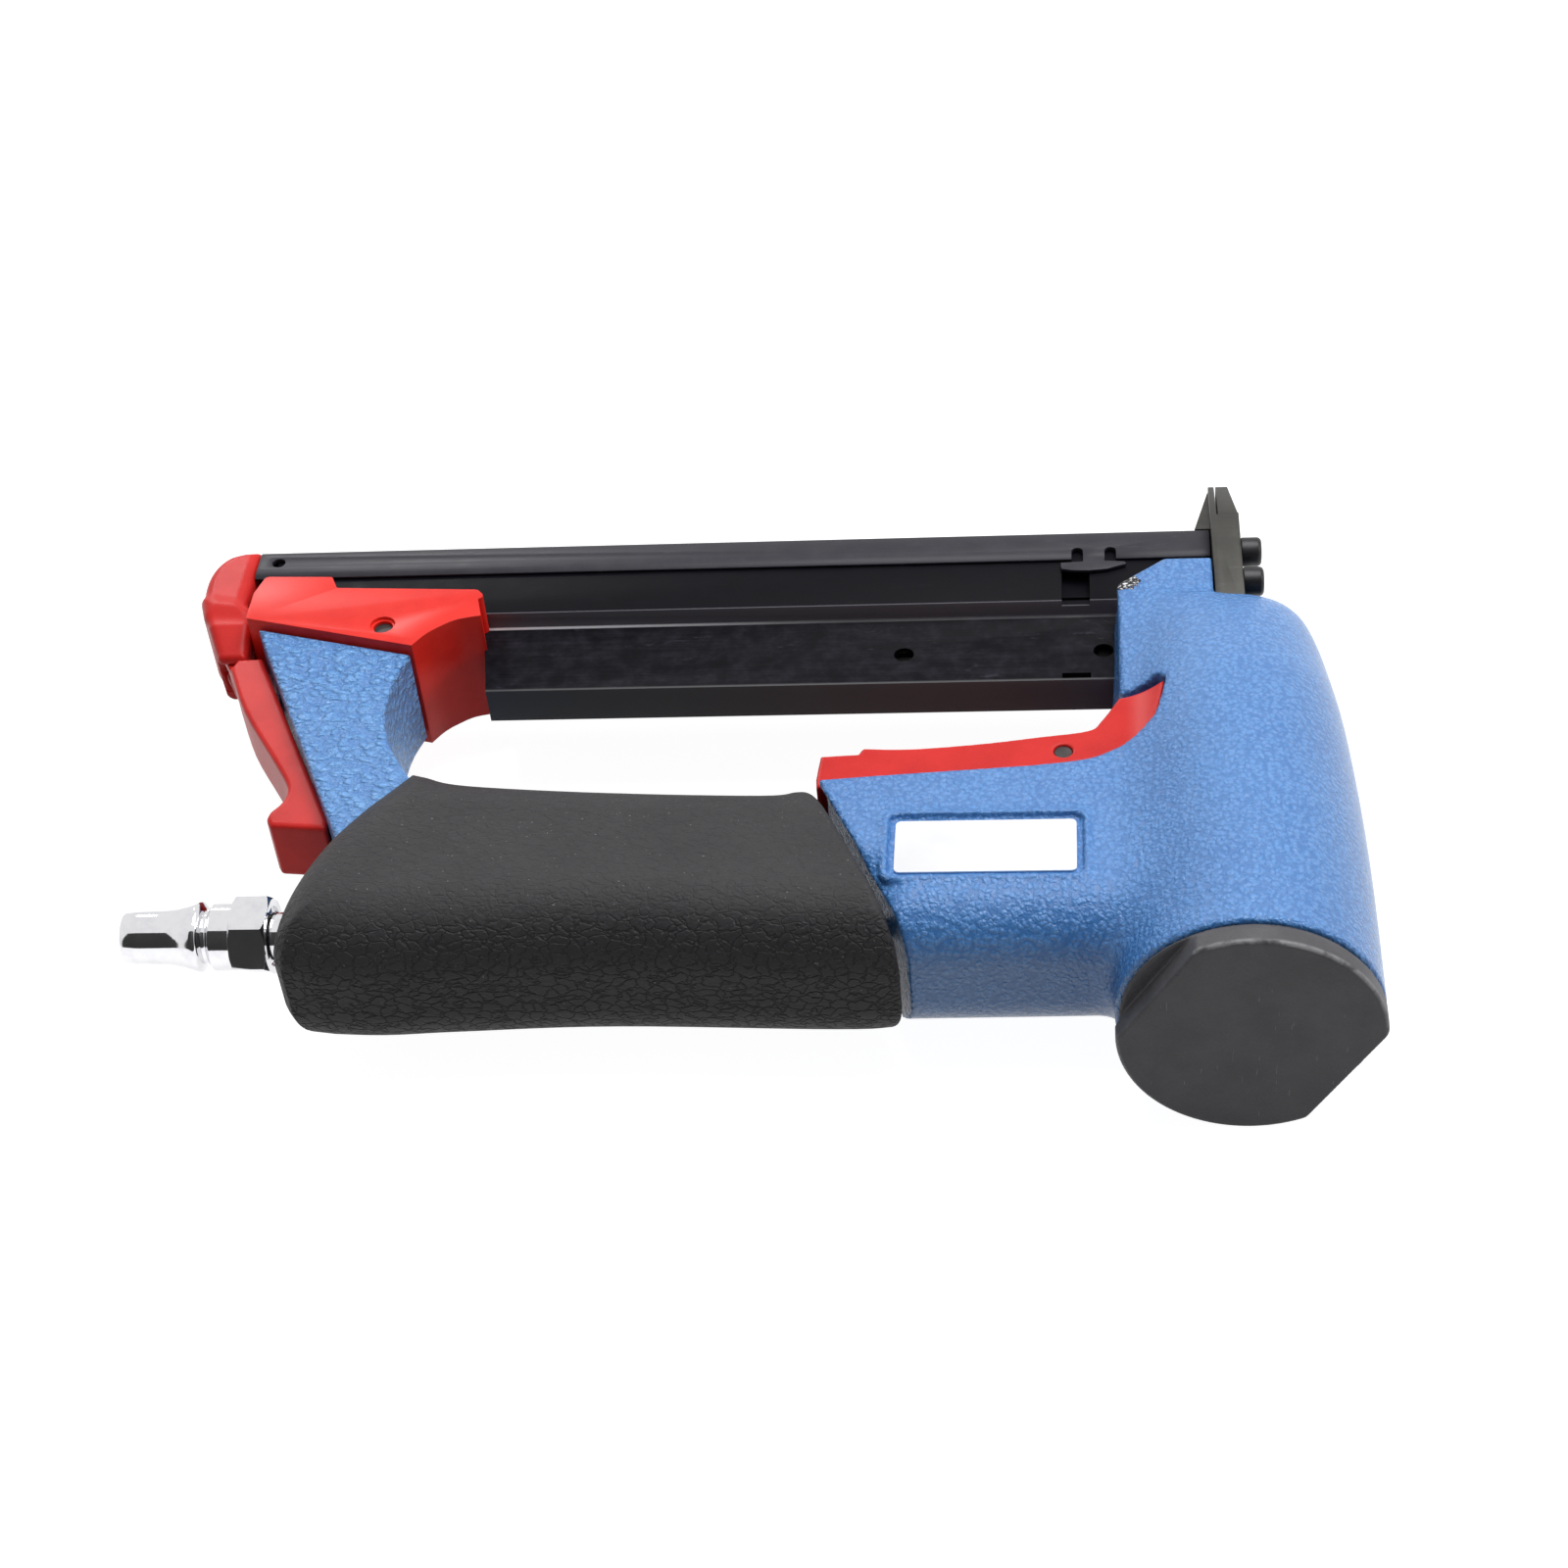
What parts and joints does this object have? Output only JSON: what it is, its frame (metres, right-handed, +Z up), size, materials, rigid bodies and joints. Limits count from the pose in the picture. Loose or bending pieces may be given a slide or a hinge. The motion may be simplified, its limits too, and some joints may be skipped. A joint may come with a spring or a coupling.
{
  "type": "pneumatic stapler",
  "caption": "Compact air-driven stapler with a cast head and handle, rubber grip, red trigger, bottom-loading slide-out magazine, rear latch and quick air plug.",
  "frame": {"origin": "centre of the overall box, on the floor that the tool lies on", "axes": "+X from the air plug towards the head, +Y from the cylinder cap towards the nose, +Z up, across the tool"},
  "size_m": [0.229, 0.1436, 0.046],
  "materials": {
    "paint": "hammered blue paint on a die casting",
    "red_plastic": "satin red moulding",
    "grip_rubber": "leather-grained black sleeve",
    "cap_plastic": "fine matt black",
    "black_steel": "black oxide, satin",
    "bright_steel": "ground steel",
    "chrome": "polished plating",
    "alloy": "turned, satin",
    "brass": "turned",
    "seal_rubber": "smooth black",
    "label_white": "bare white film"
  },
  "bodies": {
    "tool_body": {"housing": "paint", "cylinder_cap": "cap_plastic", "cap_seal": "seal_rubber", "cylinder_sleeve": "alloy", "sleeve_upper_seal": "seal_rubber", "sleeve_lower_seal": "seal_rubber", "bumper": "seal_rubber", "head_valve_spring": "bright_steel", "handle_grip": "grip_rubber", "inlet_bush": "brass", "air_plug": "chrome", "label_plate": "label_white", "trigger_pin": "bright_steel", "valve_bush": "brass", "valve_bush_seal": "seal_rubber", "valve_spring": "bright_steel", "magazine_rail": "black_steel", "spring_guide_rod": "bright_steel", "pusher_spring": "bright_steel", "rear_bracket": "red_plastic", "bracket_pin": "bright_steel", "nose_front_plate": "black_steel", "nose_rear_guide": "black_steel", "nose_screw_1": "black_steel", "nose_screw_2": "black_steel", "nose_screw_3": "black_steel", "nose_screw_4": "black_steel"},
    "piston": {"piston": "alloy", "piston_seal": "seal_rubber", "driver_blade": "bright_steel"},
    "head_valve": {"head_valve": "alloy", "head_valve_seal": "seal_rubber"},
    "trigger": {"trigger": "red_plastic"},
    "valve_stem": {"valve_stem": "bright_steel"},
    "magazine_slide": {"slide_channel": "black_steel", "slide_core": "black_steel", "slide_end_cap": "red_plastic", "latch_pin": "bright_steel"},
    "latch": {"latch_lever": "red_plastic", "latch_spring": "bright_steel"},
    "pusher": {"pusher": "black_steel"}
  },
  "joints": [
    {"name": "piston_stroke", "type": "slide", "parent": "tool_body", "child": "piston", "axis": [0, 1, 0], "range_m": [0, 0.032]},
    {"name": "head_valve_lift", "type": "slide", "parent": "tool_body", "child": "head_valve", "axis": [0, -1, 0], "range_m": [0, 0.003], "stiffness_N_per_m": 2000, "springref_m": -0.004, "deforming": ["head_valve_spring"]},
    {"name": "trigger_pull", "type": "hinge", "parent": "tool_body", "child": "trigger", "pos_m": [0.0602, -0.01255, 0.023], "axis": [0, 0, 1], "range_deg": [0, 4], "stiffness_Nm_per_rad": 1, "springref_deg": -5.73},
    {"name": "valve_stem_travel", "type": "slide", "parent": "tool_body", "child": "valve_stem", "axis": [0, -1, 0], "range_m": [0, 0.0021], "deforming": ["valve_spring"]},
    {"name": "slide_out", "type": "slide", "parent": "tool_body", "child": "magazine_slide", "axis": [-1, 0, 0], "range_m": [0, 0.12]},
    {"name": "latch_swing", "type": "hinge", "parent": "magazine_slide", "child": "latch", "pos_m": [-0.1055, 0.03225, 0.023], "axis": [0, 0, 1], "range_deg": [-14, 0], "stiffness_Nm_per_rad": 0.5, "springref_deg": 11.46},
    {"name": "pusher_travel", "type": "slide", "parent": "tool_body", "child": "pusher", "axis": [-1, 0, 0], "range_m": [0, 0.1], "stiffness_N_per_m": 40, "springref_m": -0.05, "deforming": ["pusher_spring"]}
  ],
  "couplings": [
    {"joint": "valve_stem_travel", "follows": "trigger_pull", "m_per_rad": 0.028}
  ]
}
